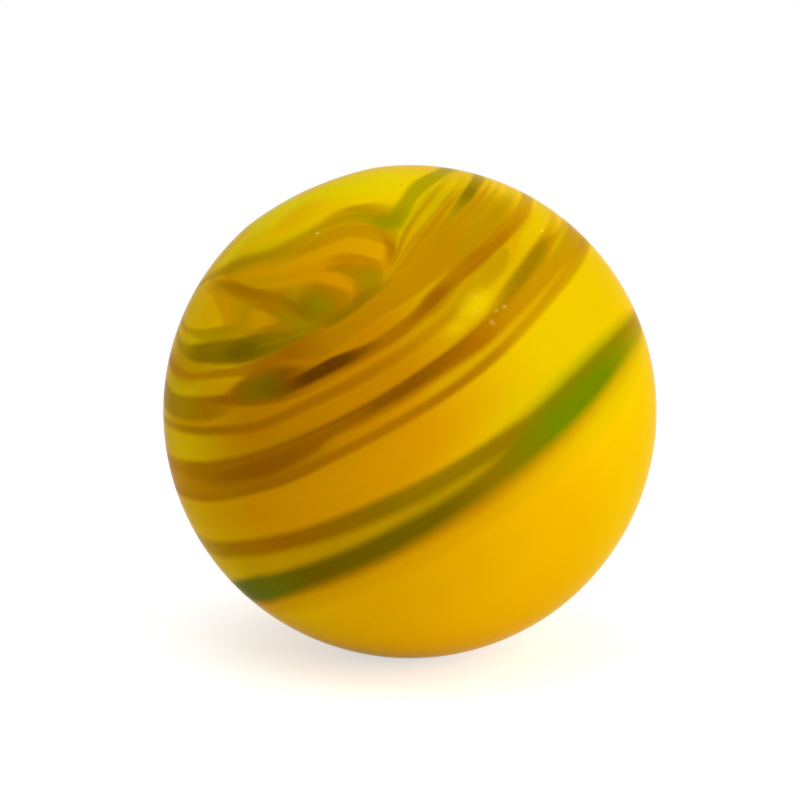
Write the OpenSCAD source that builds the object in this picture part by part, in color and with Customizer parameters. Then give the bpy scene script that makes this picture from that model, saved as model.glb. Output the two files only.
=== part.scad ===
// Glass marble: one opaque ball of yellow glass with a swirl of brown, olive and green glass.
// The streaks are trailed on hot and melted in, so they stand only a hair proud of the ball
// and are one piece with it. Frame: origin at the centre of the ball, +Z up.

/* [Ball] */
// Diameter of the ball, the common player marble
ball_d = 16; // [12:0.5:25]
// Width across the shallow flattened place that cooling left on the ball
flat_w = 5; // [4:0.5:7]
// Depth of that place below the true sphere, at its middle
flat_depth = 0.08; // [0.02:0.01:0.12]
// Turn of the flattened place about +Z, measured from +X
flat_turn = 160; // [0:5:355]
// Rise of the flattened place above the horizontal
flat_rise = 64; // [0:2:64]

/* [Swirl] */
// Turn of the swirl axis about +Z, measured from +X
swirl_turn = 200; // [0:5:355]
// Rise of the swirl axis above the horizontal
swirl_rise = 56; // [-80:2:80]
// Height that the coloured glass stands above the ball
streak_rise = 0.01; // [0.005:0.005:0.05]
// Depth that the coloured glass reaches below the surface
streak_depth = 0.6; // [0.3:0.1:1.5]

/* [Colours] */
// Glass of the ball
base_colour = "gold"; // [gold, khaki, orange, white]
// Dark streaks
brown_colour = "saddlebrown"; // [saddlebrown, sienna, maroon, black]
// Half-mixed streaks
olive_colour = "olive"; // [olive, darkkhaki, peru]
// Green streaks
green_colour = "olivedrab"; // [olivedrab, green, teal, navy]
// Warm glass turned into the fold
amber_colour = "darkorange"; // [darkorange, orange, tomato]

/* [Hidden] */

$fn = 180;
ball_r = ball_d / 2;

// The flattened place is a cap of a larger sphere, which meets the ball on a circle flat_w across.
flat_half = flat_w / 2;
ball_sag = ball_r - sqrt(ball_r * ball_r - flat_half * flat_half);
flat_sag = ball_sag - flat_depth;
flat_r = (flat_half * flat_half + flat_sag * flat_sag) / (2 * flat_sag);
flat_offset = flat_r - (ball_r - flat_depth);

// Turns +Z of what follows to a direction given by its turn about +Z and its rise.
module toward(turn, rise) {
    rotate([0, 90 - rise, turn]) children();
}

// The ball with its flattened place, thicker all over by grow.
module ball(grow = 0) {
    intersection() {
        sphere(r = ball_r + grow);
        toward(flat_turn, flat_rise) translate([0, 0, -flat_offset]) sphere(r = flat_r + grow);
    }
}

// A place on the swirl, as a point of the unit sphere: [along, down] in degrees, along round
// the swirl axis and down from it.
function place(at) = [sin(at[1]) * cos(at[0]), sin(at[1]) * sin(at[0]), cos(at[1])];

// What lies to the left of a circular cut, seen from outside and going from a past b to c.
// Along grows to the right when the swirl axis is up, so left is the axis's side.
module side(a, b, c) {
    across = cross(place(b) - place(a), place(c) - place(a));
    axis = across / norm(across);
    toward(swirl_turn, swirl_rise)
        rotate([0, acos(axis[2]), atan2(axis[1], axis[0])])
            translate([0, 0, (axis * place(a)) * ball_r])
                cylinder(h = ball_d, r = ball_d);
}

// A streak tapers from its middle to a tip at each end. middle is [along, upper, lower].
module streak(start, middle, end) {
    difference() {
        intersection() {
            ball(streak_rise);
            side(start, [middle[0], middle[2]], end);
        }
        side(start, [middle[0], middle[1]], end);
        sphere(r = ball_r - streak_depth);
    }
}

module brown_streaks() {
    // wide band, with a thin line above it and one below
    streak([-60, 66], [30, 62.5, 68.5], [108, 67]);
    streak([-40, 58], [50, 57.2, 59], [118, 60]);
    streak([-40, 72], [60, 70.2, 72], [160, 78]);
    // line above the green band
    streak([-60, 86], [20, 82.8, 86.3], [85, 88]);
    // short dark streak, and the line that follows it round the shoulder
    streak([54, 54.5], [67, 51.8, 55], [81, 55]);
    streak([84, 54.5], [114, 52.8, 55.4], [168, 61]);
}

module olive_streaks() {
    streak([111, 66], [130, 62.8, 66.2], [158, 67.5]);
    streak([33, 51.5], [43, 48, 54.5], [52, 52.5]);
    streak([-40, 52], [0, 48.6, 53.2], [30, 52]);
}

module green_streaks() {
    // main band
    streak([-50, 112], [75, 89.5, 94.8], [160, 99]);
    // tail of the fold, and the bit beside it
    streak([123, 34], [145, 32, 36], [185, 42]);
    streak([128, 43.5], [148, 44, 47.2], [172, 49.5]);
}

// Outlines in the fold, from outside in: [start, middle, end] of each, as a streak takes them.
HAIRPINS = [
    [[-66, 36], [45, 15, 43.5], [121, 30]],
    [[-58, 34.5], [45, 19, 42], [112, 34]],
    [[-52, 34], [45, 20, 41], [108, 34.8]],
    [[-46, 33.6], [42, 23.5, 39.5], [95, 36]],
    [[-40, 33.4], [40, 25, 38.5], [90, 36]],
    [[-32, 33], [34, 28.5, 36.5], [74, 35.5]],
];

module hairpin(i) {
    streak(HAIRPINS[i][0], HAIRPINS[i][1], HAIRPINS[i][2]);
}

// The band between one outline and the next one in.
module hairpin_band(i) {
    difference() {
        hairpin(i);
        hairpin(i + 1);
    }
}

module marble() {
    color(base_colour) ball();
    color(brown_colour) {
        brown_streaks();
        hairpin_band(4);
    }
    color(olive_colour) {
        olive_streaks();
        hairpin_band(0);
    }
    color(green_colour) green_streaks();
    color(amber_colour) hairpin_band(2);
}

marble();
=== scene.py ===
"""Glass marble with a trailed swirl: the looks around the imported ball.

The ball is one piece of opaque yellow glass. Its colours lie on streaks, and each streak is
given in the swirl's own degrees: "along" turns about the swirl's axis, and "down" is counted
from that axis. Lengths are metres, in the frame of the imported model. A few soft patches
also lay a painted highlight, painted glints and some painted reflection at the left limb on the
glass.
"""

import logging
import math
from dataclasses import dataclass
from enum import Enum
from typing import Sequence

import bpy
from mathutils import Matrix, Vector


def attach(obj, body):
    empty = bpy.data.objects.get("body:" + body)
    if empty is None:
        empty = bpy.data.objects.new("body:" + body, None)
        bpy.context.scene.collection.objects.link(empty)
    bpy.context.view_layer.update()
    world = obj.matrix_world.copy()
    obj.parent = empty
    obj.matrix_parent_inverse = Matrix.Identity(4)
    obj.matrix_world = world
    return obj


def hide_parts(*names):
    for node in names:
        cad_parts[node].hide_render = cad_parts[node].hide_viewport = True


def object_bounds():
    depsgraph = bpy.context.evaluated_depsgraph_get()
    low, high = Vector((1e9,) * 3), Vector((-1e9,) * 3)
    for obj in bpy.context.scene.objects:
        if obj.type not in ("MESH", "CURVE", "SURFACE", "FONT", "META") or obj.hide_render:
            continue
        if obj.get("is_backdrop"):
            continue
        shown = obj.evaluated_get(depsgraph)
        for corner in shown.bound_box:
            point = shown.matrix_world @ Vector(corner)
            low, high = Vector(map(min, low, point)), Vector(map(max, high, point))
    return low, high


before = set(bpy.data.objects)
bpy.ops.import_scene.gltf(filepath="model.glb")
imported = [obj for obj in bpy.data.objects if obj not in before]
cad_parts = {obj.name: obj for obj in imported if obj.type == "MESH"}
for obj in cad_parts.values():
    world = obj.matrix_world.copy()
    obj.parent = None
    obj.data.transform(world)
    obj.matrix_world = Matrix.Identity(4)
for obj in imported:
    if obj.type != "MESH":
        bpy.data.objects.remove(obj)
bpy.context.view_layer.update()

LOG = logging.getLogger("marble")
MM = 0.001
SEAM = -110.0
"""Where the hidden seam of the swirl's "along" lies, in degrees."""
WHITE = (1.0, 1.0, 1.0, 1.0)
FULL_TURN, HALF_TURN = 360.0, 180.0
SCREEN_WHITE = 255.0
SCREEN_KNEE, SCREEN_SLOPE, SCREEN_LIFT, SCREEN_POWER = 0.04045, 12.92, 0.055, 2.4
"""A screen's curve: a straight line up to the knee, and a lifted power above it."""

Socket = bpy.types.NodeSocket
Tree = bpy.types.NodeTree
Colour = tuple[float, float, float, float]
Station = tuple[float, float, float, float]


def linear(shade: Sequence[float]) -> Colour:
    """Turns a screen colour of 0 to 255 into the linear colour that a shader takes.

    Args:
        shade: Red, green and blue, 0 to 255.

    Returns:
        Linear red, green, blue and an alpha of 1.
    """
    parts = [part / SCREEN_WHITE for part in shade]
    red, green, blue = [part / SCREEN_SLOPE if part <= SCREEN_KNEE
                        else ((part + SCREEN_LIFT) / (1.0 + SCREEN_LIFT)) ** SCREEN_POWER
                        for part in parts]
    return red, green, blue, 1.0


def toward(turn: float, rise: float) -> Vector:
    """Gives the direction at a turn about +Z from +X and a rise above level.

    Args:
        turn: Degrees about +Z, from +X.
        rise: Degrees above level.

    Returns:
        A unit vector.
    """
    a, e = math.radians(turn), math.radians(rise)
    return Vector((math.cos(e) * math.cos(a), math.cos(e) * math.sin(a), math.sin(e)))


def run_at(degrees: float) -> float:
    """Turns degrees along into a share of the full turn from the seam."""
    return (degrees - SEAM) / FULL_TURN


def drop_at(degrees: float) -> float:
    """Turns degrees down into a share of a half turn."""
    return degrees / HALF_TURN


class Glass(Enum):
    """The glasses of the swirl, and the near-white of the painted glints, as screen colours in full
    light.
    """

    # Not a glass: the near-white of painted glints and a painted highlight on the skin.
    PAINTED_GLINT = (255, 226, 110)
    LEMON = (255, 228, 0)
    HONEY = (255, 206, 0)
    GOLD = (252, 190, 0)
    STRAW = (236, 198, 0)
    SAFFRON = (234, 170, 0)
    APRICOT = (230, 160, 0)
    OCHRE = (216, 166, 0)
    TAWNY = (210, 141, 0)
    MUSTARD = (200, 155, 0)
    CARAMEL = (194, 134, 0)
    BROWN = (178, 112, 0)
    CHESTNUT = (146, 88, 0)
    UMBER = (112, 64, 0)
    KHAKI = (176, 144, 0)
    OLIVE = (150, 118, 0)
    BOTTLE = (124, 102, 0)
    MOSS = (160, 150, 0)
    LIME = (212, 198, 0)
    GREEN = (118, 134, 0)
    SAGE = (120, 124, 12)

    @property
    def shade(self) -> Colour:
        """The glass as a linear colour."""
        return linear(self.value)


class Grid:
    """Lays nodes out in a tree and wires them, so that a finish reads as a list of steps."""

    PITCH = (220, -260)
    ROW = 24

    def __init__(self, tree: Tree) -> None:
        """Keeps the tree to fill."""
        self.tree = tree
        self.made = 0

    def node(self, kind: str, **settings: object) -> bpy.types.Node:
        """Adds a node.

        Args:
            kind: The node's type name.
            **settings: Properties to set on it.

        Returns:
            The new node.
        """
        new = self.tree.nodes.new(kind)
        row, column = divmod(self.made, self.ROW)
        new.location = (self.PITCH[0] * column, self.PITCH[1] * row)
        self.made += 1
        for name, value in settings.items():
            setattr(new, name, value)
        return new

    def feed(self, socket: Socket, value: object) -> None:
        """Wires an output into a socket, or sets the socket to a plain value.

        Args:
            socket: The input to fill.
            value: An output socket, a number or a colour, or None to leave it.
        """
        if isinstance(value, Socket):
            self.tree.links.new(value, socket)
        elif value is not None:
            socket.default_value = value

    def fill(self, new: bpy.types.Node, values: dict[str, object]) -> bpy.types.Node:
        """Fills a node's inputs by their names.

        Args:
            new: The node.
            values: What each named input gets.

        Returns:
            The node.
        """
        for name, value in values.items():
            self.feed(new.inputs[name], value)
        return new

    def step(self, kind: str, *values: object, out: int | str = 0, **settings: object) -> Socket:
        """Adds a node and fills its first inputs in order.

        Args:
            kind: The node's type name.
            *values: What the inputs get, with None to leave one.
            out: Which output is wanted.
            **settings: Properties to set on the node.

        Returns:
            The output.
        """
        new = self.node(kind, **settings)
        for socket, value in zip(new.inputs, values):
            self.feed(socket, value)
        return new.outputs[out]

    def math(self, operation: str, *values: object, clamp: bool = False) -> Socket:
        """Adds a Math node, and may keep its result within 0 to 1."""
        return self.step("ShaderNodeMath", *values, operation=operation, use_clamp=clamp)

    def apart(self, vector: Socket) -> Sequence[Socket]:
        """Takes a vector apart into its three numbers."""
        return self.fill(self.node("ShaderNodeSeparateXYZ"), {"Vector": vector}).outputs

    def join(self, *parts: object) -> Socket:
        """Joins up to three numbers into a vector."""
        return self.step("ShaderNodeCombineXYZ", *parts)

    def ease(self, value: object, start: object, stop: object, low: object = 0.0,
             high: object = 1.0) -> Socket:
        """Steps smoothly from low to high as a value goes from start to stop."""
        return self.step("ShaderNodeMapRange", value, start, stop, low, high,
                         interpolation_type="SMOOTHSTEP")

    def blend(self, share: object, under: object, over: object, how: str = "MIX") -> Socket:
        """Adds a Mix node for colours.

        Args:
            share: How much of the upper colour shows.
            under: The lower colour.
            over: The upper colour.
            how: The blend type.

        Returns:
            The mixed colour.
        """
        new = self.node("ShaderNodeMix", data_type="RGBA", blend_type=how, clamp_factor=True)
        for at, value in ((0, share), (6, under), (7, over)):
            self.feed(new.inputs[at], value)
        return new.outputs[2]

    def noise(self, at: object, scale: float, detail: float = 2.0, roughness: float = 0.5,
              ) -> Socket:
        """Adds a noise of that many waves to a unit and octaves, about 0 to 1."""
        return self.fill(self.node("ShaderNodeTexNoise"), {
            "Vector": at, "Scale": scale, "Detail": detail, "Roughness": roughness}).outputs[0]


class Group(Grid):
    """A node group with named inputs and one output."""

    def __init__(self, name: str, kind: str, inputs: dict[str, str], result: tuple[str, str],
                 ) -> None:
        """Starts the group.

        Args:
            name: What it is called.
            kind: Its tree's type name.
            inputs: Its inputs, each with its kind.
            result: Its output and that one's kind.
        """
        super().__init__(bpy.data.node_groups.new(name, kind))
        ends = [("INPUT", *end) for end in inputs.items()] + [("OUTPUT", *result)]
        for side, label, value in ends:
            self.tree.interface.new_socket(label, in_out=side, socket_type=f"NodeSocket{value}")
        self.given = self.node("NodeGroupInput").outputs

    def give(self, value: Socket) -> Tree:
        """Wires the output, and gives the finished tree."""
        self.feed(self.node("NodeGroupOutput").inputs[0], value)
        return self.tree


@dataclass(frozen=True)
class Streak:
    """A trailed streak of glass.

    Attributes:
        name: What it is.
        glass: Its colour, or the colours that it changes through as degrees along and a glass.
        path: Stations of degrees along, its upper and lower edge in degrees down, and its
            strength from 0 to 1.
        soft: How far its upper and its lower edge fade to each side, in degrees.
    """

    name: str
    glass: Glass | tuple[tuple[float, Glass], ...]
    path: tuple[Station, ...]
    soft: tuple[float, float] = (0.5, 0.5)

    def run(self, g: Grid, along: Socket) -> Socket:
        """Draws the streak's two edges and its strength through its stations.

        Args:
            g: The tree to build in.
            along: The point's place along.

        Returns:
            The upper edge, the lower edge and the strength there, as the parts of a colour.
        """
        run = g.node("ShaderNodeRGBCurve", label=self.name)
        run.mapping.extend = "HORIZONTAL"
        places, *tracks = zip(*((run_at(turn), drop_at(upper), drop_at(lower), strength)
                                for turn, upper, lower, strength in self.path))
        for curve, track, bend in zip(run.mapping.curves, tracks, ("AUTO", "AUTO", "AUTO_CLAMPED")):
            spots = list(zip(places, track))
            for spot, at in zip(curve.points, (spots[0], spots[-1])):
                spot.location = at
            for at in spots[1:-1]:
                curve.points.new(*at)
            for spot in curve.points:
                spot.handle_type = bend
        run.mapping.update()
        g.feed(run.inputs["Color"], along)
        return run.outputs[0]

    def tint(self, g: Grid, along: Socket) -> object:
        """Gives the streak's colour, which may change along it.

        Args:
            g: The tree to build in.
            along: The point's place along.

        Returns:
            A colour, or the socket that holds it.
        """
        if isinstance(self.glass, Glass):
            return self.glass.shade
        ramp = g.node("ShaderNodeValToRGB")
        stops = ramp.color_ramp.elements
        while len(stops) < len(self.glass):
            stops.new(0.5)
        for stop, (degrees, _) in zip(stops, self.glass):
            stop.position = run_at(degrees)
        for stop, (_, glass) in zip(stops, self.glass):
            stop.color = glass.shade
        g.feed(ramp.inputs[0], along)
        return ramp.outputs[0]

    def values(self, g: Grid, along: Socket) -> dict[str, object]:
        """Gives what the streak group's inputs get."""
        return {"Edges": self.run(g, along), "Glass": self.tint(g, along),
                "Soft above": drop_at(self.soft[0]), "Soft below": drop_at(self.soft[1])}


@dataclass(frozen=True)
class Cloud:
    """A soft round patch in the glass; a few of them are painted highlights and painted glints laid
    on it.

    Attributes:
        name: What it is.
        glass: Its colour.
        at: Its middle, in degrees along and down.
        reach: Half its length along and half its width down, in degrees.
        lean: How far it drops for each degree along.
        core: The share of its reach that is at full strength.
        strength: How strong that is.
    """

    name: str
    glass: Glass
    at: tuple[float, float]
    reach: tuple[float, float]
    lean: float = 0.0
    core: float = 0.0
    strength: float = 1.0

    def values(self, _: Grid, along: Socket) -> dict[str, object]:
        """Gives what the cloud group's inputs get."""
        return {"Glass": self.glass.shade, "Along": along, "Middle along": run_at(self.at[0]),
                "Middle down": drop_at(self.at[1]), "Reach along": self.reach[0] / FULL_TURN,
                "Reach down": drop_at(self.reach[1]), "Lean": self.lean * FULL_TURN / HALF_TURN,
                "Core": self.core, "Strength": self.strength}


G = Glass
"""What the painting calls its glasses."""

PAINTING: tuple[Streak | Cloud, ...] = (
    # Lemon glass near the swirl's axis on the left; part of its paleness is a painted reflection of
    # the white surround along the limb.
    Cloud("lemon_head_and_painted_reflection", G.LEMON, (-6, 12), (18, 9), 0.0, 0.3, 0.9),
    Cloud("lemon_tail", G.LEMON, (154, 18), (40, 24), 0.0, 0.3, 0.9),
    Cloud("gold_above", G.GOLD, (95, 10), (50, 7), 0.0, 0.2, 0.5),
    Cloud("gold_below", G.GOLD, (70, 116), (66, 50), 0.0, 0.35, 0.95),
    Cloud("amber_below", G.SAFFRON, (60, 106), (36, 18), 0.0, 0.1, 0.35),
    Cloud("straw_left", G.STRAW, (8, 47), (28, 6), 0.0, 0.3, 0.7),
    Cloud("gap_shade", G.SAFFRON, (15, 54), (24, 2.5), 0.0, 0.2, 0.8),
    Cloud("saffron_left", G.SAFFRON, (28, 47), (15, 3), 0.0, 0.2, 0.6),
    Cloud("straw_right", G.STRAW, (118, 78), (55, 20), 0.0, 0.4, 0.9),
    Cloud("apricot_middle", G.APRICOT, (56, 75), (58, 19), 0.0, 0.35, 1.0),
    Cloud("tawny_middle", G.TAWNY, (66, 57), (60, 20), 0.0, 0.4, 1.0),
    Cloud("ochre_right", G.OCHRE, (120, 58), (44, 15), 0.0, 0.4, 0.9),
    Cloud("mustard_right", G.MUSTARD, (128, 50), (34, 9), 0.05, 0.4, 0.8),
    Cloud("ochre_left", G.OCHRE, (12, 42), (36, 5), 0.03, 0.4, 0.8),
    Cloud("field_gold", G.GOLD, (19, 29), (17, 6), 0.05, 0.3, 0.7),
    Streak("fold_glow", G.LIME, (
        (0, 13, 16, 0), (20, 13, 16.5, 0.3), (45, 13.4, 17, 0.4), (65, 14.8, 18, 0.4),
        (85, 16.6, 20, 0.3), (105, 18, 21, 0)), (1.8, 1.0)),
    Streak("fold_rim", ((0, G.MUSTARD), (60, G.MUSTARD), (95, G.OCHRE), (112, G.OCHRE),
        (119, G.MUSTARD)), (
        (-100, 40, 44, 0), (-66, 35, 39, 0.6), (-30, 25.5, 28.5, 0.6), (-10, 19.4, 22, 0.6),
        (0, 17.8, 21.4, 0.7), (10, 16.2, 19.8, 0.9), (20, 15.3, 20.5, 1), (27, 15.1, 24, 1),
        (36, 15.1, 32, 1), (48, 15.9, 40, 1), (62, 16.9, 44, 1), (75, 17.6, 44.5, 1),
        (88, 18.6, 44, 1), (98, 19.2, 43, 1), (106, 19.6, 41.4, 1), (112, 20.2, 39.8, 1),
        (117, 21.4, 38.4, 1), (120, 22.6, 37.6, 0.9), (122, 23.6, 37.2, 0.8), (124, 25, 36.8, 0.6),
        (126, 26.8, 36.4, 0.3), (128.6, 28.8, 36, 0.1), (131, 30, 35, 0)), (1.7, 0.6)),
    Cloud("fold_end_green", G.MOSS, (115, 33.6), (7.5, 5), 0.15, 0.2, 0.9),
    Streak("fold_end_line", G.MOSS, (
        (84, 18.8, 20.4, 0), (92, 19.4, 21.2, 0.25), (101, 20.6, 22.6, 0.25),
        (108, 21.8, 25.8, 0.3), (112, 23.6, 32, 0.4), (115.6, 27, 34, 0.5), (119, 32, 34, 0)),
        (0.9, 0.9)),
    Streak("hairpin_brown", ((0, G.CARAMEL), (30, G.SAFFRON), (68, G.OCHRE), (84, G.TAWNY),
        (104, G.TAWNY), (112, G.CARAMEL)), (
        (6, 20.4, 22, 0), (14, 19.3, 24, 0.4), (27, 18.6, 27, 0.6), (40, 18.8, 32, 0.6),
        (51, 19.4, 40, 0.8), (65, 21.2, 44, 0.8), (78, 22.6, 44.5, 0.6), (90, 23.4, 44.3, 0.5),
        (97, 24, 43.6, 0.5), (102, 25, 42.6, 0.5), (106, 26.8, 41.4, 0.5), (109, 30, 40, 0.5),
        (111.5, 35, 38, 0.5), (114, 40, 34, 0)), (1.0, 0.6)),
    Streak("hairpin_bright", G.SAFFRON, (
        (8, 21, 22, 0), (18, 20, 26, 0.7), (34, 20.2, 32, 0.9), (51, 21.2, 38, 1),
        (65, 23.2, 43, 1), (76, 24.8, 44, 1), (88, 26.6, 44, 1), (95, 27.8, 43.4, 1),
        (100, 29.4, 42.6, 1), (102.4, 31.4, 41.8, 1), (104.2, 34.4, 40.6, 1), (105.6, 38, 38.2, 1),
        (107.6, 42, 34, 0)), (1.2, 0.8)),
    Streak("hairpin_hook", G.BROWN, (
        (96, 41.8, 43, 0), (99, 40.6, 42.8, 0.4), (102, 39.4, 42.2, 0.6), (104.6, 38, 41.6, 0.8),
        (107.4, 35.4, 40.4, 0.5), (110.4, 33.2, 38.8, 0)), (1.3, 0.5)),
    Streak("hairpin_ochre", ((50, G.OCHRE), (70, G.APRICOT), (82, G.APRICOT), (90, G.TAWNY),
        (98, G.TAWNY)), (
        (26, 22.6, 26, 0), (38, 23.2, 30, 0.6), (50, 24.4, 38, 0.9), (62, 26.4, 43, 1),
        (74, 28.2, 44.4, 1), (84, 29.6, 44.6, 1), (89, 30.8, 44.6, 1), (93, 32.4, 44, 1),
        (96, 34.8, 42.8, 1), (98, 37.6, 41.2, 0.9), (99.4, 40.4, 39.8, 0.7), (101.4, 43, 37, 0)),
        (1.2, 1.0)),
    Streak("hairpin_inner", G.CARAMEL, (
        (76, 31, 34, 0), (83, 32.4, 44, 0.5), (88, 34, 44, 0.9), (91.6, 36, 43.6, 0.8),
        (94.4, 38.4, 42.8, 0.5), (97.4, 41, 41, 0)), (1.2, 0.8)),
    Cloud("hairpin_green", G.KHAKI, (91.6, 41.2), (8, 6), 0.2, 0.2, 0.8),
    Streak("hairpin_ring", ((60, G.SAFFRON), (74, G.APRICOT), (85, G.APRICOT), (89, G.TAWNY)), (
        (46, 26, 36, 0), (56, 27.2, 40, 0.6), (66, 29.2, 43, 0.9), (74, 31.2, 44.2, 1),
        (79, 32.2, 44.4, 1), (82.4, 33.6, 43.4, 1), (85, 35, 42, 1), (87, 37, 40.6, 0.8),
        (88.4, 39, 39.4, 0.5), (90, 42, 37, 0)), (1.2, 1.2)),
    Streak("hairpin_heart", ((60, G.CARAMEL), (68, G.MUSTARD), (76, G.CARAMEL)), (
        (50, 28, 36, 0), (58, 29.6, 41, 0.8), (66, 31.2, 44.4, 1), (72, 32.8, 44.6, 1),
        (76, 34, 44.4, 1), (79, 35.8, 44, 1), (81.4, 38, 43.4, 1), (83.4, 40, 42.8, 0.8),
        (85.4, 42, 42.4, 0.5), (87.4, 44, 42, 0)), (1.6, 0.8)),
    Cloud("heart_shade", G.OLIVE, (71, 39.6), (12, 7), 0.2, 0.1, 0.9),
    Cloud("heart_green", G.MOSS, (74, 39.6), (6, 4), 0.3, 0.1, 0.6),
    Streak("ochre_field", ((22, G.SAFFRON), (32, G.SAFFRON), (40, G.OCHRE), (54, G.CARAMEL),
        (64, G.KHAKI)), (
        (10, 22.4, 24, 0), (18, 22.8, 25.6, 0.7), (25, 24, 28.4, 0.8), (32, 25.6, 34, 0.9),
        (40, 28, 38, 1), (50, 31, 39.6, 1), (58, 34, 43, 1), (66, 38, 44, 0.8), (72, 41, 44, 0)),
        (0.9, 2.0)),
    Streak("field_lead", G.SAFFRON, (
        (-10, 20.8, 23.6, 0), (0, 21, 24.2, 0.5), (10, 20.4, 24.8, 0.8), (18, 20.4, 25.6, 0.7),
        (26, 21, 27.4, 0.5), (36, 23, 29, 0)), (0.6, 1.0)),
    Streak("bright_island", G.SAFFRON, (
        (43, 31.5, 36, 0), (46, 32, 36.8, 0.5), (50, 32.8, 37.4, 0.8), (54, 34.4, 38, 0.7),
        (57, 36.6, 38.4, 0.4), (60, 38, 38.8, 0)), (0.9, 0.7)),
    Streak("inner_brown", ((14, G.MUSTARD), (34, G.CARAMEL), (60, G.CARAMEL), (70, G.OLIVE)), (
        (2, 20.8, 21.6, 0), (10, 21.1, 22.8, 0.6), (20, 21.4, 23.5, 0.9), (30, 22.1, 25.2, 1),
        (38, 23.6, 27.3, 1), (45, 25.6, 29.5, 1), (53, 28, 32.5, 1), (59, 30.4, 35.4, 0.9),
        (64, 33.8, 38.6, 0.9), (67.4, 37, 41.2, 0.8), (69.8, 40, 42.6, 0.5), (72, 43, 43.4, 0)),
        (0.9, 1.5)),
    Streak("inner_brown_core", ((30, G.CARAMEL), (40, G.BROWN), (50, G.BROWN), (62, G.OLIVE)), (
        (10, 21.1, 22.3, 0), (18, 21.3, 22.8, 0.4), (26, 22, 23.7, 0.4), (34, 23.4, 25, 0.5),
        (41, 25, 26.6, 0.4), (47, 26.8, 28.6, 0.4), (54, 29.2, 31.4, 0.3), (60, 32, 34.2, 0.3),
        (66, 36.4, 39, 0.4), (70, 41, 42, 0)), (0.8, 1.2)),
    Streak("fine_olive", G.MUSTARD, (
        (-60, 35, 37, 0), (-20, 33, 34.4, 0.6), (0, 33, 34.4, 0.6), (10, 32.9, 34.8, 0.7),
        (20, 33, 36, 0.8), (30, 33.2, 37, 0.9), (38, 33.8, 38, 0.5), (46, 35, 38, 0)), (0.6, 0.7)),
    Streak("fine_lime", G.LIME, (
        (-8, 34.7, 35.8, 0), (4, 34.8, 36.4, 0.4), (16, 34.8, 36.2, 0.4), (26, 35.2, 36.4, 0.2),
        (38, 36, 37, 0)), (0.7, 0.5)),
    Streak("dark_band", ((-20, G.MUSTARD), (8, G.KHAKI), (18, G.OLIVE), (64, G.OLIVE)), (
        (-90, 41, 44, 0), (-55, 38, 40.5, 0.6), (-20, 35.8, 37.4, 0.6), (0, 36.4, 38.8, 0.7),
        (8, 36.5, 39.6, 0.8), (16, 36.2, 40.5, 0.9), (24, 36.3, 41.2, 0.9), (33, 36.9, 42.4, 0.9),
        (41, 37.7, 43.8, 1), (50, 38.8, 44.7, 0.9), (58, 40.6, 45.2, 0.6), (66, 42.6, 45.6, 0.35),
        (76, 44.6, 45.8, 0)), (0.8, 0.8)),
    Streak("dark_band_core", G.BOTTLE, (
        (28, 38.4, 40.4, 0), (35, 39, 41.6, 0.5), (41, 39.2, 42.6, 0.7), (47, 40.2, 43.4, 0.6),
        (54, 41.8, 44.2, 0.5), (60, 42.8, 44.8, 0.5), (66, 43.8, 45.2, 0.2), (72, 44.6, 45.4, 0)),
        (0.9, 0.9)),
    Streak("band_light", G.KHAKI, (
        (47, 41.1, 41.5, 0), (53, 41.8, 42.4, 0.6), (61, 42.9, 43.6, 0.6), (69, 44, 44.6, 0.4),
        (76, 44.8, 45.2, 0)), (0.3, 0.4)),
    Streak("under_band", ((20, G.TAWNY), (38, G.CARAMEL), (50, G.BROWN), (60, G.BROWN),
        (72, G.CARAMEL)), (
        (-80, 46, 48, 0), (-40, 42, 45, 0.5), (-5, 41.5, 43.9, 0.7), (5, 42, 44.2, 0.7),
        (15, 42.9, 44.5, 0.8), (30, 43.2, 45.2, 0.9), (40, 44, 46.4, 0.9), (52, 44.6, 49.3, 0.9),
        (60, 44.6, 51, 1), (74, 44.6, 50.6, 0.9), (84, 44.5, 50.2, 0.8), (95, 44.4, 51.2, 0.8),
        (106, 43, 51.8, 0.8), (116, 42, 53, 0.8), (128, 42, 54, 0.6), (140, 44, 56, 0.4),
        (160, 48, 58, 0)), (0.6, 0.6)),
    Streak("loop_foot", ((70, G.OLIVE), (77, G.BOTTLE), (84, G.BOTTLE), (92, G.OLIVE)), (
        (64, 43, 44.6, 0), (71, 43.4, 45.3, 0.3), (77, 43.8, 45.9, 0.6), (82, 43.2, 45.8, 0.6),
        (87, 43.3, 45.7, 0.6), (92, 43.6, 45.6, 0.4), (98, 44.2, 45.2, 0)), (0.8, 0.6)),
    Streak("olive_band", ((10, G.MUSTARD), (24, G.CARAMEL)), (
        (-90, 52, 56, 0), (-40, 48, 53, 0.7), (-8, 47.4, 53, 0.8), (5, 48.1, 53.3, 1),
        (15, 48.2, 53.6, 1), (25, 48.6, 53.8, 1), (34, 49.4, 53.4, 0.7), (41, 50.5, 53, 0)),
        (0.8, 0.8)),
    Streak("olive_band_rim", ((10, G.MUSTARD), (30, G.BROWN), (80, G.BROWN)), (
        (-4, 48, 48.9, 0), (10, 48.2, 49.3, 0.4), (25, 48.8, 50.2, 0.6), (35, 49.6, 51.6, 0.9),
        (42, 51.2, 53.2, 0.9), (52, 53.4, 55.2, 0.9), (66, 54.2, 56, 0.8), (80, 54.4, 56, 0)),
        (0.6, 0.7)),
    Streak("olive_blob_rim", ((36, G.BROWN), (50, G.BROWN), (64, G.TAWNY)), (
        (30, 49.6, 51.4, 0), (36, 48.2, 52, 0.8), (42, 47, 53.2, 1), (50, 46.6, 54.6, 1),
        (57, 47.4, 55.4, 0.9), (64, 49.6, 55.6, 0.6), (72, 51.4, 55.4, 0)), (0.9, 0.7)),
    Streak("olive_blob", ((40, G.OLIVE), (48, G.OLIVE), (55, G.CHESTNUT)), (
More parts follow.
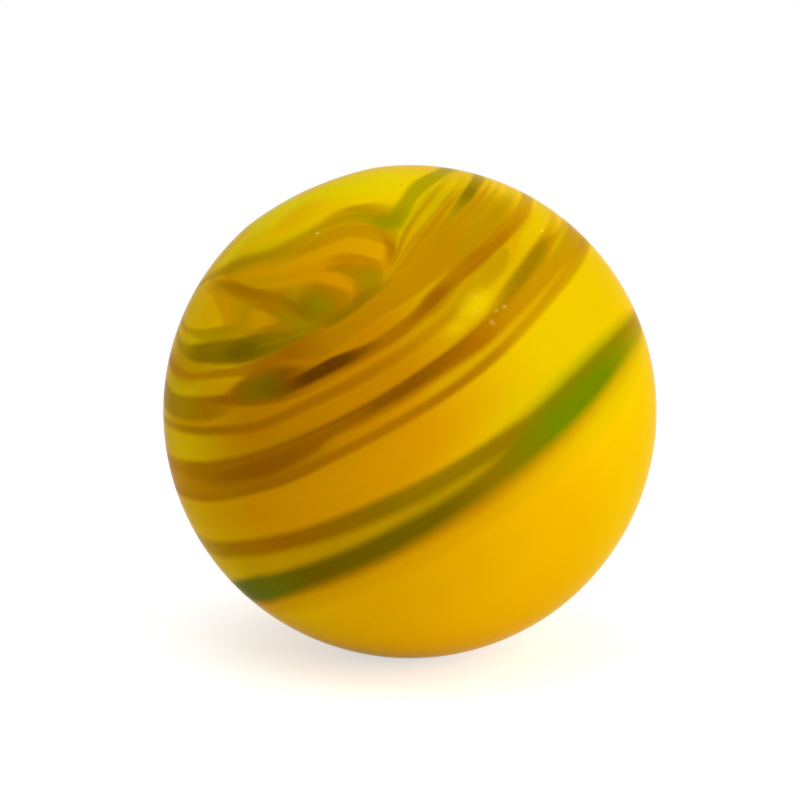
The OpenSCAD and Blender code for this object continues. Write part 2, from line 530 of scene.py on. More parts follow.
        (35, 49.6, 51, 0), (40, 48.4, 52.2, 0.7), (46, 47.8, 53.2, 1), (52, 47.9, 54.2, 1),
        (57, 48.8, 54.6, 0.8), (63, 51, 54.8, 0.5), (70, 51.8, 54.8, 0)), (1.2, 0.9)),
    Cloud("blob_dark", G.BOTTLE, (50, 51.6), (9, 3.6), 0.2, 0.1, 0.7),
    Streak("dark_streak_tail", ((80, G.BROWN), (130, G.BROWN), (150, G.CARAMEL)), (
        (70, 53.4, 56, 0), (78, 53.6, 56.4, 0.9), (88, 53.9, 56.9, 0.9), (95, 53.7, 57, 0.9),
        (100, 52.9, 57.4, 1), (105, 52.6, 56.8, 0.9), (110, 52.5, 56.3, 0.8),
        (118, 52.9, 57.1, 0.9), (126, 53.8, 57.3, 0.9), (135, 54.6, 58.1, 0.8),
        (145, 56, 59.3, 0.7), (160, 58, 61, 0.6), (185, 61, 65, 0.5), (215, 63, 66, 0)),
        (0.6, 0.7)),
    Streak("tail_core", G.CHESTNUT, (
        (90, 54.8, 56, 0), (97, 54.1, 56.2, 0.4), (103, 53.6, 55.9, 0.5), (109, 54.2, 55.6, 0.2),
        (116, 55.2, 56.2, 0.2), (124, 56, 57, 0)), (0.6, 0.6)),
    Streak("dark_streak", ((52, G.CHESTNUT), (60, G.UMBER), (74, G.UMBER), (80, G.CHESTNUT)), (
        (48, 52, 53.4, 0), (54, 51.8, 53.9, 0.5), (59, 51.7, 54.4, 0.9), (64, 51.7, 54.7, 1),
        (69, 51.8, 55, 1), (74, 52.6, 55.2, 0.9), (79, 53.5, 55.3, 0.7), (84, 54.5, 55.5, 0)),
        (0.5, 0.8)),
    Streak("patch_shade", ((100, G.MUSTARD), (128, G.MUSTARD)), (
        (88, 56.4, 58, 0), (98, 56.2, 60, 0.5), (106, 55.8, 60.4, 0.6), (115, 56.4, 60.8, 0.8),
        (120, 56.8, 60.9, 1), (124, 57, 60.5, 1), (127, 57.6, 59.4, 1), (129, 58.8, 58.4, 1),
        (131, 60, 57, 0)), (0.8, 0.7)),
    Streak("tail_light", G.OCHRE, (
        (122, 53.9, 54.5, 0), (134, 54.9, 55.7, 0.3), (148, 56.2, 57.2, 0.3), (175, 60, 61.4, 0.5),
        (200, 62, 63, 0)), (0.5, 0.5)),
    Streak("clear_patch", G.STRAW, (
        (92, 60.8, 62.6, 0), (102, 60.8, 64, 0.3), (112, 61.2, 63.6, 0.4), (124, 61.4, 62.6, 0.3),
        (134, 59.8, 63, 0.6), (148, 60.4, 64.4, 0.8), (170, 63, 67, 0.8), (200, 66, 70, 0)),
        (0.9, 0.9)),
    Streak("brown_line", ((10, G.CARAMEL), (40, G.BROWN), (70, G.BROWN), (100, G.CARAMEL)), (
        (-80, 58, 60, 0), (-40, 56, 57.5, 0.5), (0, 54.6, 56.2, 0.6), (12, 54.6, 56.4, 0.8),
        (24, 55.1, 57, 0.9), (33, 55.9, 57.9, 0.9), (42, 56.9, 59, 0.8), (60, 57.2, 59.4, 0.8),
        (75, 58, 60.4, 0.8), (88, 58.6, 60.8, 0.7), (100, 58.6, 60.6, 0.5), (112, 57, 60, 0)),
        (0.7, 0.8)),
    Streak("middle_wash", ((0, G.APRICOT), (14, G.TAWNY), (28, G.CARAMEL), (56, G.CARAMEL),
        (66, G.TAWNY)), (
        (-70, 66, 78, 0), (-20, 63.6, 73, 0.6), (4, 62.9, 72.2, 0.8), (20, 62.7, 71.9, 0.9),
        (35, 62.8, 71.6, 0.9), (52, 63.2, 71.4, 0.9), (62, 63.8, 71, 0.5), (74, 65, 71, 0)),
        (1.2, 0.7)),
    Streak("tail_wash", G.OCHRE, (
        (82, 68.6, 71, 0), (96, 68.4, 72, 0.8), (120, 68.4, 72, 0.9), (142, 68, 73, 0.9),
        (160, 70, 76, 0.5), (180, 74, 79, 0)), (1.2, 0.8)),
    Streak("wide_brown", ((10, G.CARAMEL), (30, G.BROWN), (100, G.BROWN), (110, G.CARAMEL)), (
        (-95, 70, 76, 0), (-50, 66, 71, 0.7), (-8, 63.4, 68, 0.4), (5, 62.9, 66, 0.3),
        (15, 62.8, 66.6, 0.6), (25, 62.9, 68.6, 0.6), (35, 63.1, 69.3, 0.8), (45, 63.3, 69.2, 1),
        (54, 63.4, 68.4, 1), (60, 63.6, 67.2, 0.9), (68, 63.9, 67.6, 0.9), (78, 64.4, 68.2, 0.9),
        (90, 64.8, 68.6, 1), (102, 65, 69.5, 1), (113, 65, 69.6, 0.9), (126, 63.8, 70.2, 0.8),
        (138, 64.2, 71.4, 0.8), (150, 67, 74, 0.6), (180, 72, 78, 0.4), (220, 76, 80, 0)),
        (0.9, 0.9)),
    Streak("wide_brown_core", G.CHESTNUT, (
        (20, 65.4, 67, 0), (32, 65, 68, 0.4), (44, 65, 68.4, 0.5), (54, 65.1, 67.6, 0.4),
        (62, 64.9, 66.6, 0.4), (72, 64.8, 66.8, 0.8), (80, 64.8, 67.2, 1), (87, 65, 67.4, 0.8),
        (94, 65.2, 67.6, 0.4), (102, 65.6, 67.6, 0)), (0.8, 0.7)),
    Streak("wide_brown_edge", G.CHESTNUT, (
        (10, 62.8, 63.8, 0), (45, 63.4, 64.2, 0.3), (60, 63.9, 64.6, 0.6), (75, 64.5, 65.2, 0.8),
        (90, 65, 65.7, 0.6), (102, 65.3, 66, 0.2), (112, 65.4, 66.1, 0)), (0.4, 0.4)),
    Streak("olive_spindle", ((112, G.OLIVE), (134, G.OLIVE), (148, G.CARAMEL)), (
        (104, 65.2, 66.4, 0), (112, 63.8, 66.4, 0.4), (118, 63.1, 66.2, 0.7),
        (126, 62.9, 66.2, 0.8), (134, 63.1, 66.4, 0.8), (142, 63.6, 66, 0.6),
        (152, 64.8, 66.8, 0.5), (165, 66.4, 68, 0.3), (185, 69, 70.5, 0)), (0.8, 1.0)),
    Streak("spindle_light", G.STRAW, (
        (133, 67, 67.4, 0), (139, 66.9, 67.8, 0.5), (146, 67.4, 68.6, 0.7), (160, 69.2, 70.6, 0.6),
        (180, 72, 73, 0)), (0.5, 0.6)),
    Streak("thin_brown", ((30, G.BROWN), (60, G.BROWN), (90, G.BROWN), (115, G.CARAMEL)), (
        (-85, 78, 81, 0), (-40, 73, 76, 0.5), (0, 69.9, 72.4, 0.3), (10, 70.2, 72, 0.2),
        (20, 69.9, 71.5, 0.2), (30, 69.6, 71.4, 0.4), (45, 69.3, 71.8, 0.8), (60, 69.5, 71.6, 0.8),
        (75, 70.1, 72.2, 0.8), (88, 70.8, 72.8, 0.9), (100, 71.2, 73.4, 0.9),
        (112, 71.2, 73.3, 0.7), (122, 71.1, 73.3, 0.7), (135, 71.6, 74.2, 0.7),
        (148, 72.8, 75.6, 0.7), (162, 75.5, 77.8, 0.6), (190, 80, 82, 0)), (0.7, 0.7)),
    Cloud("tail_shade", G.MUSTARD, (146, 70), (26, 5), 0.1, 0.2, 0.6),
    Streak("green_glow", G.LIME, (
        (84, 81, 88, 0), (98, 81.5, 89, 0.2), (112, 83.5, 90, 0.4), (126, 86, 92, 0.5),
        (140, 89.5, 95, 0.4), (152, 92, 97, 0)), (2.0, 1.5)),
    Streak("between_bands", ((10, G.STRAW), (22, G.OCHRE), (34, G.OCHRE), (46, G.MUSTARD),
        (60, G.MUSTARD), (72, G.KHAKI), (90, G.KHAKI)), (
        (-10, 85, 98, 0), (10, 84.5, 96, 0.6), (24, 84, 95, 0.8), (40, 84, 93, 0.9),
        (60, 85, 92, 0.9), (78, 86.4, 92, 0.8), (92, 87, 92, 0.7), (104, 88, 92, 0)), (1.2, 0.8)),
    Streak("green_mist", ((98, G.KHAKI), (108, G.MOSS), (126, G.MOSS), (142, G.MUSTARD)), (
        (82, 84.6, 90, 0), (92, 85, 90, 0.5), (102, 85.1, 90, 0.6), (112, 85.5, 90, 0.6),
        (122, 86.4, 91, 0.6), (134, 88.4, 94, 0.6), (146, 91.4, 96, 0.4), (156, 95, 98, 0)),
        (1.6, 1.4)),
    Streak("lower_brown", ((0, G.MUSTARD), (11, G.MUSTARD), (20, G.CARAMEL), (34, G.BROWN),
        (66, G.OLIVE), (94, G.OLIVE), (108, G.GREEN)), (
        (-95, 92, 98, 0), (-50, 86, 91, 0.8), (0, 82.2, 86.6, 0.6), (10, 81.9, 86.6, 0.9),
        (20, 81.5, 85.6, 1), (30, 81.5, 85.7, 0.95), (40, 81.9, 86, 1), (50, 82.3, 86.6, 1),
        (60, 82.9, 87.2, 1), (70, 83.7, 87.8, 0.9), (80, 84.5, 88.4, 0.9), (90, 85.4, 89.4, 0.9),
        (100, 86.4, 91, 0.7), (108, 87.2, 92, 0.4), (116, 88.4, 92, 0)), (1.1, 1.3)),
    Streak("band_wash", ((20, G.SAFFRON), (80, G.SAFFRON), (112, G.STRAW)), (
        (-5, 99, 105, 0), (10, 97, 104.5, 0.5), (25, 96, 102.4, 0.7), (45, 95, 101.6, 0.8),
        (75, 95, 101.4, 0.8), (100, 95, 101.4, 0.8), (118, 95, 102, 0.8), (135, 95.6, 102, 0.6),
        (150, 97, 102, 0.4), (165, 100, 103, 0)), (1.0, 2.4)),
    Streak("green_fringe", ((20, G.CARAMEL), (80, G.CARAMEL), (120, G.OCHRE), (150, G.MUSTARD)), (
        (-5, 99, 103, 0), (10, 96.5, 101.4, 0.5), (25, 94.6, 98.6, 0.8), (45, 93.8, 97.4, 0.9),
        (75, 93.8, 97.4, 0.8), (100, 94, 97.6, 0.8), (118, 94.4, 98.2, 0.7), (135, 95, 98.8, 0.6),
        (150, 96, 99.4, 0.6), (165, 98, 101, 0.4), (190, 101, 103, 0)), (1.0, 1.8)),
    Streak("green_band", ((0, G.SAGE), (24, G.SAGE), (38, G.BOTTLE), (72, G.BOTTLE), (86, G.OLIVE),
        (104, G.GREEN), (122, G.GREEN), (142, G.MOSS), (156, G.KHAKI)), (
        (-95, 112, 118, 0), (-50, 104, 111, 0.8), (0, 95.6, 102, 0.8), (10, 93.2, 100.6, 1),
        (20, 91.3, 98.9, 1), (30, 90.7, 97.1, 1), (45, 90.2, 95.8, 1), (60, 90.1, 95.5, 1),
        (75, 90.4, 95.1, 1), (88, 89.8, 95.1, 1), (98, 87.8, 95.2, 1), (108, 87.2, 95.3, 1),
        (118, 87.8, 95.6, 1), (128, 89, 95.8, 1), (138, 90.8, 96.6, 0.9), (148, 93, 98, 0.7),
        (158, 95.4, 99, 0.4), (170, 98, 101, 0)), (1.4, 1.7)),
    Streak("green_band_edge", ((96, G.OLIVE), (134, G.OLIVE), (150, G.CARAMEL)), (
        (86, 86.4, 88, 0), (96, 87.1, 89, 0.4), (108, 87.2, 89.2, 0.5), (119, 87.8, 90, 0.5),
        (130, 89.6, 91.8, 0.5), (140, 91.8, 94.2, 0.6), (150, 94.4, 96.4, 0.5), (160, 97, 98, 0)),
        (0.9, 1.2)),
    Streak("green_tail", G.MOSS, (
        (115, 34, 37.8, 0), (119, 32.8, 37.4, 0.7), (127, 32, 36, 0.75), (136, 32, 35.8, 0.75),
        (143, 32.1, 36.6, 0.75), (150, 33.1, 37.8, 0.75), (156, 34.6, 39.2, 0.75),
        (162, 36.6, 41, 0.7), (175, 40.5, 45, 0.8), (200, 47, 51, 0.6), (230, 52, 55, 0)),
        (0.9, 0.8)),
    Streak("tail_yellow", ((110, G.OCHRE), (138, G.OCHRE), (150, G.STRAW)), (
        (96, 42.8, 43.8, 0), (104, 40.8, 43.2, 0.8), (110, 38.8, 42.6, 0.9), (117, 37.2, 42.2, 0.9),
        (124, 36.4, 42.4, 0.9), (136, 36.2, 43, 0.9), (150, 38, 45, 0.9), (165, 41, 48, 0.6),
        (190, 48, 53, 0)), (0.6, 0.8)),
    Cloud("tail_lime", G.LIME, (132, 39), (30, 4.5), 0.06, 0.2, 0.45),
    Streak("tail_lime_line", G.LIME, (
        (103, 41, 41.8, 0), (107, 39.4, 40.4, 0.4), (111, 38, 39, 0.5), (118, 36.8, 37.6, 0.4),
        (130, 36.1, 36.9, 0.3), (145, 36.8, 37.8, 0.2), (165, 39.8, 41, 0)), (0.5, 0.4)),
    Streak("tail_brown_line", G.CARAMEL, (
        (99, 42.2, 43, 0), (105, 40.4, 41.6, 0.8), (111, 38.9, 40, 0.7), (119, 37.7, 38.8, 0.7),
        (131, 37.3, 38.5, 0.6), (145, 38, 39.2, 0.4), (165, 41, 42, 0)), (0.5, 0.6)),
    Streak("tail_brown_line_mid", G.CARAMEL, (
        (95, 43.4, 44.2, 0), (102, 42.6, 43.4, 0.6), (110, 41.2, 42, 0.7), (120, 40.6, 41.4, 0.6),
        (132, 40.6, 41.5, 0.6), (146, 41.4, 42.4, 0.4), (165, 44, 45, 0)), (0.4, 0.4)),
    Streak("tail_brown_line_low", G.CARAMEL, (
        (94, 43.9, 44.9, 0), (102, 43.2, 44.4, 0.6), (112, 41.9, 43.2, 0.7), (121, 41.5, 42.9, 0.8),
        (130, 41.6, 42.9, 0.8), (142, 42.2, 43.5, 0.5), (160, 44.2, 45.2, 0)), (0.5, 0.5)),
    Streak("tail_dark_line", ((105, G.CARAMEL), (130, G.KHAKI), (142, G.OLIVE), (160, G.OLIVE)), (
        (92, 44.2, 45, 0), (105, 43.9, 44.9, 0.3), (122, 43.8, 44.9, 0.5), (134, 43.4, 45.6, 0.8),
        (140, 43.5, 46.2, 0.9), (146, 43.9, 46.8, 1), (152, 44.5, 47.4, 0.9), (162, 46, 49, 0.7),
        (180, 49, 51.4, 0.5), (210, 54, 57, 0)), (0.6, 1.0)),
    Streak("tail_fine_line", G.CARAMEL, (
        (110, 45.4, 46.4, 0), (120, 45.6, 46.6, 0.5), (132, 46.2, 47.2, 0.6), (142, 47, 48.2, 0.7),
        (155, 48.6, 49.8, 0.5), (175, 52, 53, 0)), (0.4, 0.5)),
    Streak("tail_fine_line_low", G.KHAKI, (
        (126, 47.4, 48.4, 0), (136, 48.2, 49.2, 0.3), (146, 49.4, 50.4, 0.4),
        (158, 51.2, 52.2, 0.3), (175, 54, 55, 0)), (0.5, 0.5)),
    Streak("tail_ochre", G.KHAKI, (
        (112, 51, 53, 0), (122, 50.4, 53, 0.3), (132, 50.4, 53.2, 0.4), (142, 51.4, 54.2, 0.4),
        (155, 53.4, 56, 0.3), (180, 57, 60, 0)), (1.0, 0.9)),
    # A painted highlight: a soft lighter patch and small near-white glints laid on the glass where
    # a broad light would mirror.
    Cloud("painted_highlight", G.LEMON, (107.6, 61.4), (7.5, 3.8), 0.0, 0.2, 0.4),
    Cloud("painted_highlight_far", G.LEMON, (99.5, 62.6), (4, 2), 0.1, 0.1, 0.25),
    Cloud("painted_highlight_high", G.PAINTED_GLINT, (109, 60.4), (0.5, 1.1), 0.0, 0.0, 0.22),
    Cloud("painted_highlight_low", G.PAINTED_GLINT, (106.2, 62.4), (0.5, 1.4), 0.0, 0.0, 0.15),
    Cloud("painted_highlight_left", G.PAINTED_GLINT, (107, 66.8), (0.8, 1.3), 0.0, 0.0, 0.25),
    Cloud("painted_highlight_right", G.PAINTED_GLINT, (112.4, 66.2), (1.2, 0.7), 0.2, 0.0, 0.28),
    Cloud("painted_highlight_last", G.PAINTED_GLINT, (110, 65.6), (1.0, 0.5), 0.2, 0.0, 0.3),
    # Two painted glints: small near-white spots laid on the glass.
    Cloud("painted_glint_fold", G.PAINTED_GLINT, (92.2, 21.7), (1.6, 0.6), 0.15, 0.1, 0.9),
    Cloud("painted_glint_tail", G.PAINTED_GLINT, (143.8, 63.4), (1.2, 0.45), 0.25, 0.1, 0.9),
    Cloud("speck_band", G.STRAW, (70.4, 45), (0.5, 0.35), 0.0, 0.2, 0.3),
    Cloud("speck_streak", G.CARAMEL, (66, 52.8), (0.5, 0.35), 0.0, 0.2, 0.3),
    Cloud("speck_brown", G.OCHRE, (39.6, 64.2), (0.5, 0.35), 0.0, 0.2, 0.4),
    Cloud("speck_dark", G.OLIVE, (145, 30.3), (1.6, 0.3), 0.0, 0.2, 0.5),
)


@dataclass(frozen=True)
class SwirlGlass:
    """The finish of the whole ball: opaque yellow glass with its streaks painted in order, and a
    painted highlight, painted glints and part of a painted limb reflection laid among them.

    Attributes:
        swirl_turn: Where the swirl's axis points, in degrees about +Z.
        swirl_rise: How high it points, in degrees.
        wobble: The waves in which the streaks wander, to a radius, and how far, in degrees.
        tremble: The waves in which their edges are ragged, and how far.
        thread_run: How many threads of colour follow the streaks, along and down.
        grain: How strong the threads are.
        mottle: How strongly the ground varies.
        warm_cap: Between which heights on a unit ball the ground warms away from the axis.
        rough: How rough the skin is where it is smoothest and where it is roughest.
        gloss: How much the skin mirrors, as the shader counts it.
        ripple: How deep its ripples are.
        ripple_share: How strongly they show.
        at_once: How many streaks the renderer works through at a time.
    """

    swirl_turn: float = 200.0
    swirl_rise: float = 56.0
    wobble: tuple[float, float] = (2.5, 0.3)
    tremble: tuple[float, float] = (28.0, 0.07)
    thread_run: tuple[float, float] = (9.0, 170.0)
    grain: float = 0.025
    mottle: float = 0.2
    warm_cap: tuple[float, float] = (0.998, 0.985)
    rough: tuple[float, float] = (0.12, 0.2)
    gloss: float = 0.001
    ripple: float = 0.02 * MM
    ripple_share: float = 0.12
    at_once: int = 4

    def make(self) -> bpy.types.Material:
        """Builds the material.

        Returns:
            The material.
        """
        finish = bpy.data.materials.new("swirl_glass")
        finish.use_nodes = True
        g = Grid(finish.node_tree)
        shader = finish.node_tree.nodes["Principled BSDF"]
        skin, along, down = self.place(g)
        colour = self.ground(g, skin)
        groups = {Streak: self.streak_group(), Cloud: self.cloud_group()}
        for count, item in enumerate(PAINTING):
            if count % self.at_once == 0:
                along = self.wait(g, along, colour)
            laid = g.node("ShaderNodeGroup", node_tree=groups[type(item)], label=item.name)
            g.fill(laid, {"Under": colour, "Down": down, **item.values(g, along)})
            colour = laid.outputs[0]
        g.fill(shader, {"Base Color": self.threads(g, colour, along, down)})
        self.surface(g, shader, skin)
        return finish

    def place(self, g: Grid) -> tuple[Socket, ...]:
        """Finds where a point of the skin lies in the swirl.

        Args:
            g: The tree to build in.

        Returns:
            The point on a ball of radius 1, its place along as a share of the full turn from the
            seam, and its place down as a share of a half turn.
        """
        turned = g.fill(g.node("ShaderNodeMapping", vector_type="TEXTURE"), {
            "Vector": g.node("ShaderNodeTexCoord").outputs["Object"],
            "Rotation": (0.0, math.radians(90.0 - self.swirl_rise), math.radians(self.swirl_turn))})
        skin = g.step("ShaderNodeVectorMath", turned.outputs[0], operation="NORMALIZE")
        x, y, z = g.apart(skin)
        turn = g.math("MULTIPLY_ADD", g.math("ARCTAN2", y, x), 0.5 / math.pi, run_at(0.0))
        along = g.math("FRACT", turn)
        down = g.math("MULTIPLY", g.math("ARCCOSINE", z), 1.0 / math.pi)
        for waves, reach in (self.wobble, self.tremble):
            push = g.math("MULTIPLY_ADD", g.noise(skin, waves), drop_at(2.0 * reach),
                          -drop_at(reach))
            down = g.math("ADD", down, push)
        return skin, along, down

    def ground(self, g: Grid, skin: Socket) -> Socket:
        """Colours the ball before any streak: lemon, with warmer drifts.

        Args:
            g: The tree to build in.
            skin: The point on a ball of radius 1.

        Returns:
            The colour.
        """
        warm = g.ease(g.apart(skin)[2], *self.warm_cap)
        drift = g.ease(g.noise(skin, scale=1.6, detail=3.0), start=0.35, stop=0.65,
                       low=-self.mottle, high=self.mottle)
        return g.blend(g.math("ADD", warm, drift, clamp=True), Glass.LEMON.shade, Glass.HONEY.shade)

    def streak_group(self) -> Tree:
        """Makes the group that lays one streak over what is under it.

        Returns:
            The node group.
        """
        g = Group("streak", "ShaderNodeTree", {
            "Under": "Color", "Glass": "Color", "Down": "Float", "Edges": "Color",
            "Soft above": "Float", "Soft below": "Float"}, ("Colour", "Color"))
        upper, lower, strength = g.fill(
            g.node("ShaderNodeSeparateColor"), {"Color": g.given["Edges"]}).outputs
        above, below = g.given["Soft above"], g.given["Soft below"]
        share = g.ease(g.math("SUBTRACT", g.given["Down"], upper),
                       g.math("MULTIPLY", above, -1.0), above, 0.0, strength)
        share = g.ease(g.math("SUBTRACT", g.given["Down"], lower),
                       g.math("MULTIPLY", below, -1.0), below, share, 0.0)
        return g.give(g.blend(share, g.given["Under"], g.given["Glass"]))

    def cloud_group(self) -> Tree:
        """Makes the group that lays one soft patch over what is under it.

        Returns:
            The node group.
        """
        numbers = ("Along", "Down", "Middle along", "Middle down", "Reach along", "Reach down",
                   "Lean", "Core", "Strength")
        g = Group("cloud", "ShaderNodeTree", {
            "Under": "Color", "Glass": "Color", **dict.fromkeys(numbers, "Float")},
            ("Colour", "Color"))
        over = g.math("SUBTRACT", g.given["Along"], g.given["Middle along"])
        under = g.math("SUBTRACT", g.given["Down"], g.given["Middle down"])
        level = g.math("MULTIPLY_ADD", over, g.math("MULTIPLY", g.given["Lean"], -1.0), under)
        x = g.math("DIVIDE", over, g.given["Reach along"])
        y = g.math("DIVIDE", level, g.given["Reach down"])
        far = g.math("SQRT", g.math("MULTIPLY_ADD", x, x, g.math("MULTIPLY", y, y)))
        share = g.ease(far, g.given["Core"], 1.0, g.given["Strength"], 0.0)
        return g.give(g.blend(share, g.given["Under"], g.given["Glass"]))

    def wait(self, g: Grid, along: Socket, colour: object) -> Socket:
        """Holds the place along back, unchanged, until the colour so far is known.

        The renderer then works through the streaks a few at a time, and does not have to keep all
        their curves at once, for which it has no room. No part of the colour is above 1.
        """
        return g.math("MULTIPLY", along, g.math("MAXIMUM", colour, 1.0))

    def threads(self, g: Grid, colour: object, along: Socket, down: Socket) -> Socket:
        """Adds fine darker threads that follow the streaks.

        Args:
            g: The tree to build in.
            colour: The colour so far.
            along: The point's place along.
            down: The point's place down.

        Returns:
            The colour with the threads on it.
        """
        run = g.join(*(g.math("MULTIPLY", part, count)
                       for part, count in zip((along, down), self.thread_run)))
        share = g.ease(g.noise(run, scale=1.0, detail=3.0, roughness=0.6), start=0.45, stop=0.72,
                       high=self.grain)
        return g.blend(share, colour, Glass.BROWN.shade, "MULTIPLY")

    def surface(self, g: Grid, shader: bpy.types.Node, skin: Socket) -> None:
        """Sets how the skin takes the light.

        Args:
            g: The tree to build in.
            shader: The shader to set.
            skin: The point on a ball of radius 1.
        """
        ripple = g.fill(g.node("ShaderNodeBump"), {
            "Strength": self.ripple_share, "Distance": self.ripple,
            "Height": g.noise(skin, scale=45.0, detail=3.0)})
        rough = g.ease(g.noise(skin, scale=5.0, detail=4.0), 0.3, 0.7, *self.rough)
        g.fill(shader, {"Roughness": rough, "IOR": 1.5, "Specular IOR Level": self.gloss,
                        "Normal": ripple.outputs[0]})


@dataclass(frozen=True)
class Ball:
    """The ball: one round piece with the shallow flat that it cooled with.

    Attributes:
        ball_d: Its diameter.
        flat_w: How wide the flat is.
        flat_depth: How deep the flat is at its middle.
        flat_turn: Where the flat looks, in degrees about +Z.
        flat_rise: How high it looks, in degrees.
        divisions: Squares along one side of the cube that the ball is blown up from.
    """

    ball_d: float = 16.0 * MM
    flat_w: float = 5.0 * MM
    flat_depth: float = 0.08 * MM
    flat_turn: float = 160.0
    flat_rise: float = 64.0
    divisions: int = 96

    def flat_ball(self) -> tuple[float, float]:
        """Works out the bigger ball whose skin is the flat.

        Returns:
            Its radius, and how far its centre stands off behind the ball's own centre.
        """
        ball_r, half = self.ball_d / 2, self.flat_w / 2
        sag = ball_r - math.sqrt(ball_r ** 2 - half ** 2) - self.flat_depth
        flat_r = (half ** 2 + sag ** 2) / (2 * sag)
        return flat_r, flat_r - (ball_r - self.flat_depth)

    def tree(self) -> Tree:
        """Builds the Geometry Nodes tree: a cube blown up to a ball, with its flat pressed in.

        Returns:
            The tree.
        """
        g = Group("ball_shape", "GeometryNodeTree", {
            "Ball radius": "Float", "Flat radius": "Float", "Flat offset": "Float",
            "Flat direction": "Vector", "Divisions": "Int", "Finish": "Material"},
            ("Geometry", "Geometry"))
        flat_r, offset = g.given["Flat radius"], g.given["Flat offset"]
        sides = {f"Vertices {axis}": g.given["Divisions"] for axis in "XYZ"}
        cube = g.fill(g.node("GeometryNodeMeshCube"), {"Size": (2.0, 2.0, 2.0), **sides})
        even = g.apart(g.node("GeometryNodeInputPosition").outputs[0])
        spread = [g.math("TANGENT", g.math("MULTIPLY", part, math.pi / 4)) for part in even]
        unit = g.step("ShaderNodeVectorMath", g.join(*spread), operation="NORMALIZE")
        facing = g.step("ShaderNodeVectorMath", unit, g.given["Flat direction"], out="Value",
                        operation="DOT_PRODUCT")
        back = g.math("MULTIPLY", facing, offset)
        inside = g.math("SUBTRACT", g.math("MULTIPLY", flat_r, flat_r),
                        g.math("MULTIPLY", offset, offset))
        to_flat = g.math("SUBTRACT", g.math("SQRT", g.math("MULTIPLY_ADD", back, back, inside)),
                         back)
        reach = g.fill(g.node("ShaderNodeVectorMath", operation="SCALE"), {
            "Vector": unit, "Scale": g.math("MINIMUM", to_flat, g.given["Ball radius"])})
        blown = g.fill(g.node("GeometryNodeSetPosition"), {
            "Geometry": cube.outputs["Mesh"], "Position": reach.outputs[0]})
        smooth = g.step("GeometryNodeSetShadeSmooth", blown.outputs[0])
        real = g.step("GeometryNodeRealizeInstances", smooth)
        return g.give(g.step("GeometryNodeSetMaterial", real, None, g.given["Finish"]))

    def make(self, finish: bpy.types.Material) -> None:
        """Makes the ball as a plain mesh and sets it in the frame.

        Args:
            finish: The ball's material.
        """
        flat_r, flat_offset = self.flat_ball()
        start = bpy.data.meshes.new("marble_start")
        ball = bpy.data.objects.new("marble_glass", start)
        bpy.context.scene.collection.objects.link(ball)
        shape = ball.modifiers.new("ball_shape", "NODES")
        shape.node_group = self.tree()
        values = {"Ball radius": self.ball_d / 2, "Flat radius": flat_r, "Flat offset": flat_offset,
                  "Flat direction": toward(self.flat_turn, self.flat_rise),
                  "Divisions": self.divisions + 1, "Finish": finish}
        for socket in shape.node_group.interface.items_tree:
            if socket.in_out == "INPUT":
                shape[socket.identifier] = values[socket.name]
        seen = ball.evaluated_get(bpy.context.evaluated_depsgraph_get())
        mesh = bpy.data.meshes.new_from_object(seen)
        ball.modifiers.clear()
        ball.data = mesh
        bpy.data.meshes.remove(start)
        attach(ball, "root")
        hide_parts("marble")
        LOG.info("%s: %d faces", ball.name, len(mesh.polygons))


@dataclass(frozen=True)
class Softbox:
    """A soft lamp that looks at the ball.

    Attributes:
        name: What it does.
        turn: Where it stands, in degrees about +Z.
        rise: How high it stands, in degrees.
        width: Its width.
        height: Its height.
        glow: The brightness of its face, where 1 is white.
        away: Its distance from the ball.
    """

    name: str
    turn: float
    rise: float
    width: float
    height: float
    glow: float
    away: float = 0.6

    def make(self) -> None:
        """Makes the lamp, turned to the ball."""
        data = bpy.data.lights.new(self.name, "AREA")
        data.shape = "RECTANGLE"
        data.size, data.size_y = self.width, self.height
        data.energy = self.glow * math.pi * self.width * self.height
        lamp = bpy.data.objects.new(self.name, data)
        side = toward(self.turn, self.rise)
        lamp.location = side * self.away
        lamp.rotation_euler = side.to_track_quat("Z", "Y").to_euler()
        lamp.visible_camera = False
        bpy.context.scene.collection.objects.link(lamp)


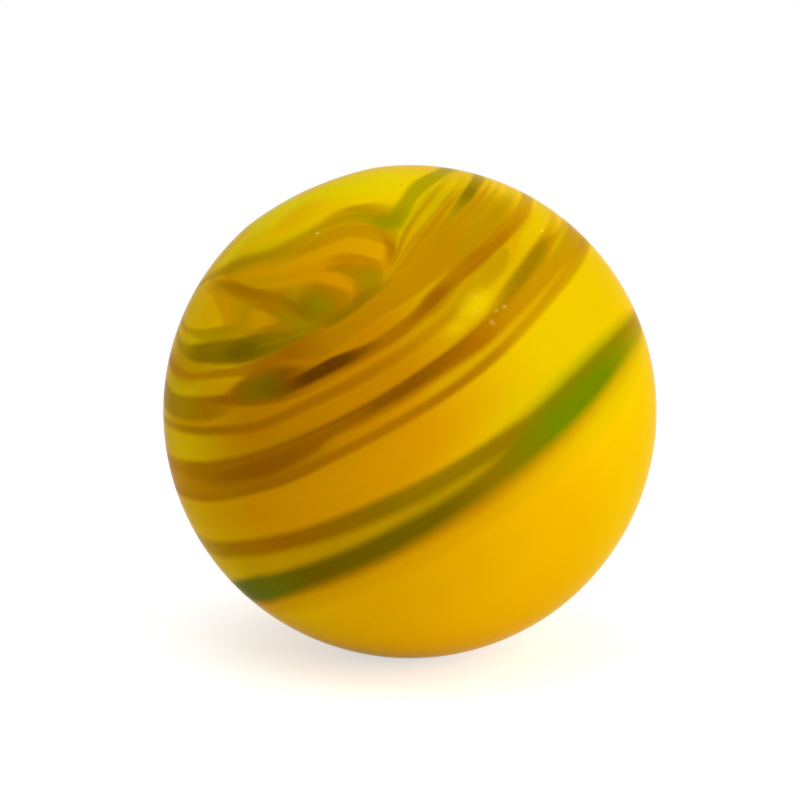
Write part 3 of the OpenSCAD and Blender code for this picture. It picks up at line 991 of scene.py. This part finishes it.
@dataclass(frozen=True)
class Studio:
    """The pale floor, the lamps, the white surround and the camera.

    Attributes:
        floor_size: The floor's width.
        floor_colour: How pale the floor is.
        floor_lift: How much the floor is lifted towards white where it is seen.
        clear_from: How far from the ball the floor starts to turn to plain white.
        clear_to: Where it is plain white.
        fill: The brightness of the surround as light on the ball.
        camera_turn: Where the camera stands, in degrees about +Z.
        camera_rise: How high it stands, in degrees.
        camera_away: Its distance.
        lens: Its lens, in mm.
        sensor: The width of its picture, in mm.
        shift: How far the picture is shifted, as shares of its width.
        clip: The nearest and the farthest that it sees.
        softboxes: The lamps.
    """

    floor_size: float = 4.0
    floor_colour: float = 0.86
    floor_lift: float = 0.6
    clear_from: float = 9.0 * MM
    clear_to: float = 45.0 * MM
    fill: float = 0.24
    camera_turn: float = -90.0
    camera_rise: float = 10.0
    camera_away: float = 72.5 * MM
    lens: float = 100.0
    sensor: float = 36.0
    shift: tuple[float, float] = (-0.0124, 0.0145)
    clip: tuple[float, float] = (1.0 * MM, 10.0)
    softboxes: tuple[Softbox, ...] = (
        Softbox("key", -25.0, 25.0, 0.9, 0.9, 1.0),
        Softbox("low", -50.0, 12.0, 0.7, 0.24, 1.75),
        Softbox("top", -120.0, 75.0, 0.5, 0.5, 1.75),
    )

    def build(self) -> None:
        """Sets up the floor, the surround, the lamps and the camera."""
        self.lay_floor()
        self.surround()
        for softbox in self.softboxes:
            softbox.make()
        self.aim_camera()

    def lay_floor(self) -> None:
        """Makes the floor that the ball lies on, which keeps the ball's shadow."""
        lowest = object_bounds()[0].z
        bpy.ops.mesh.primitive_plane_add(size=self.floor_size, location=(0.0, 0.0, lowest))
        floor = bpy.context.object
        floor.name = "floor"
        finish = bpy.data.materials.new("pale_floor")
        finish.use_nodes = True
        finish.node_tree.nodes.clear()
        g = Grid(finish.node_tree)
        matt = g.step("ShaderNodeBsdfDiffuse", (self.floor_colour,) * 3 + (1.0,))
        lift = g.step("ShaderNodeEmission", None, self.floor_lift)
        far = g.step("ShaderNodeVectorMath", g.node("ShaderNodeTexCoord").outputs["Object"],
                     out="Value", operation="LENGTH")
        seen = g.step("ShaderNodeMixShader", g.ease(far, self.clear_from, self.clear_to),
                      g.step("ShaderNodeAddShader", matt, lift), g.step("ShaderNodeEmission"))
        either = g.step("ShaderNodeMixShader", self.looked_at(g), matt, seen)
        g.fill(g.node("ShaderNodeOutputMaterial"), {"Surface": either})
        floor.data.materials.append(finish)
        floor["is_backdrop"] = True

    def looked_at(self, g: Grid) -> Socket:
        """Tells what is looked at, straight, mirrored or through glass, from what gives light.

        Args:
            g: The tree to build in.

        Returns:
            1 where it is looked at, and 0 where it only gives light.
        """
        path = g.node("ShaderNodeLightPath").outputs
        mirrored = g.math("MAXIMUM", path["Is Glossy Ray"], path["Is Transmission Ray"])
        return g.math("MAXIMUM", path["Is Camera Ray"], mirrored)

    def surround(self) -> None:
        """Makes the world: white to look at, and a weak even light on the ball."""
        world = bpy.context.scene.world or bpy.data.worlds.new("surround")
        bpy.context.scene.world = world
        world.use_nodes = True
        world.node_tree.nodes.clear()
        g = Grid(world.node_tree)
        level = g.step("ShaderNodeMapRange", self.looked_at(g), None, None, self.fill)
        back = g.step("ShaderNodeBackground", WHITE, level)
        g.fill(g.node("ShaderNodeOutputWorld"), {"Surface": back})

    def aim_camera(self) -> None:
        """Makes the camera and makes it the scene's."""
        data = bpy.data.cameras.new("camera")
        data.lens, data.sensor_width = self.lens, self.sensor
        data.shift_x, data.shift_y = self.shift
        data.clip_start, data.clip_end = self.clip
        camera = bpy.data.objects.new("camera", data)
        back = toward(self.camera_turn, self.camera_rise)
        camera.location = back * self.camera_away
        camera.rotation_euler = back.to_track_quat("Z", "Y").to_euler()
        bpy.context.scene.collection.objects.link(camera)
        bpy.context.scene.camera = camera


def main() -> None:
    """Builds the marble and its studio."""
    logging.basicConfig(level=logging.INFO, format="%(name)s: %(message)s")
    bpy.context.scene.view_settings.view_transform = "Standard"
    Ball().make(SwirlGlass().make())
    Studio().build()


if __name__ == "__main__":
    main()
